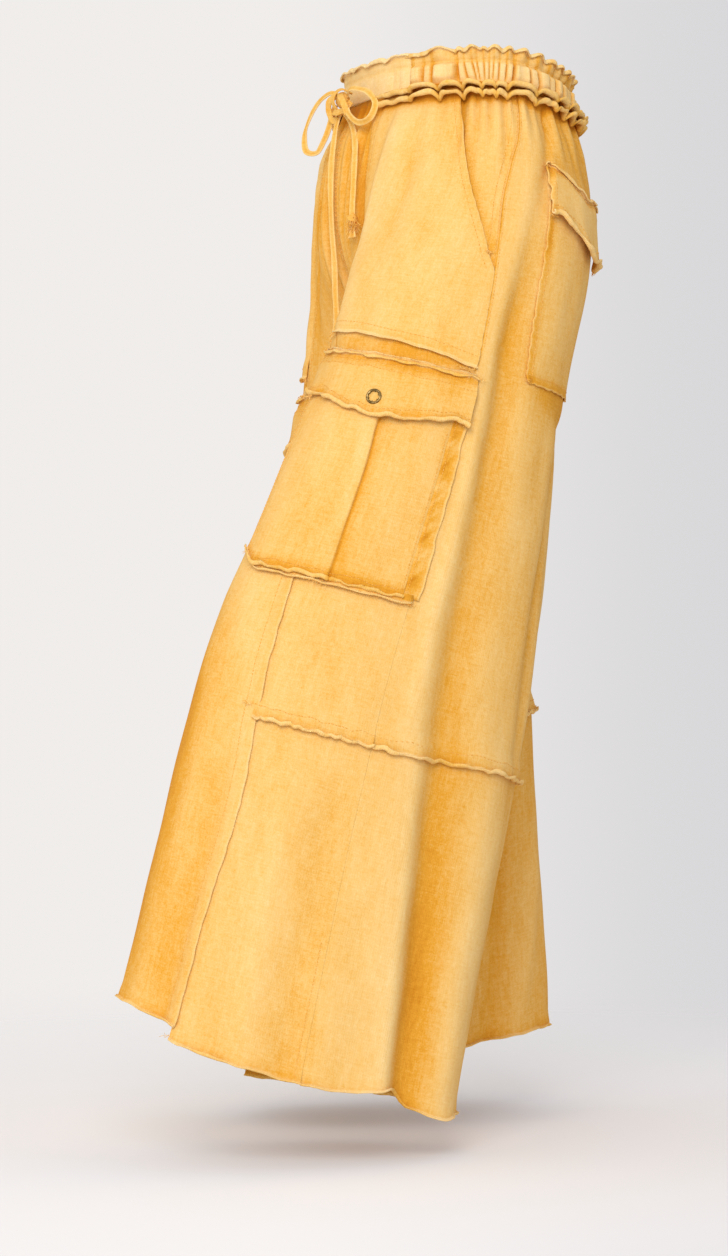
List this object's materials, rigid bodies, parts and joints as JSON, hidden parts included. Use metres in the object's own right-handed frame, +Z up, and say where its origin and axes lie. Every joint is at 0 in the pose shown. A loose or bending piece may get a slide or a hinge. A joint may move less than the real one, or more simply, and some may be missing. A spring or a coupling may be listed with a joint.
{
  "type": "cargo pants",
  "caption": "Wide-leg cargo pants with a gathered drawstring waist, flapped thigh and seat pockets and raw lapped seams, worn and in mid stride.",
  "frame": {"origin": "middle of the waist opening, at mid height of the elastic casing at the sides", "axes": "+Z up, the front faces -Y, the wearer's left leg is at +X"},
  "size_m": [0.4539, 0.5181, 0.9812],
  "materials": {
    "terry": "mineral-washed terry knit, matte",
    "drawstring_knit": "folded strip of the same knit, matte",
    "snap_brass": "antique brass, worn satin"
  },
  "bodies": {
    "root": {"front_centre_L": "terry", "front_centre_R": "terry", "front_side_L": "terry", "front_side_R": "terry", "pocket_facing_L": "terry", "pocket_facing_R": "terry", "side_mid_L": "terry", "side_mid_R": "terry", "side_low_L": "terry", "side_low_R": "terry", "back_upper_L": "terry", "back_upper_R": "terry", "back_low_L": "terry", "back_low_R": "terry", "cargo_pocket_L": "terry", "cargo_pocket_R": "terry", "cargo_gusset_L": "terry", "cargo_gusset_R": "terry", "cargo_flap_L": "terry", "cargo_flap_R": "terry", "snap_ring_L": "snap_brass", "snap_ring_R": "snap_brass", "back_pocket_L": "terry", "back_pocket_R": "terry", "back_flap_L": "terry", "back_flap_R": "terry", "waistband_front": "terry", "waistband_elastic": "terry", "waist_ruffle": "terry", "drawstring_knot": "drawstring_knit", "drawstring_loop_left": "drawstring_knit", "drawstring_loop_right": "drawstring_knit", "drawstring_tail_left": "drawstring_knit", "drawstring_tail_right": "drawstring_knit"}
  },
  "joints": []
}
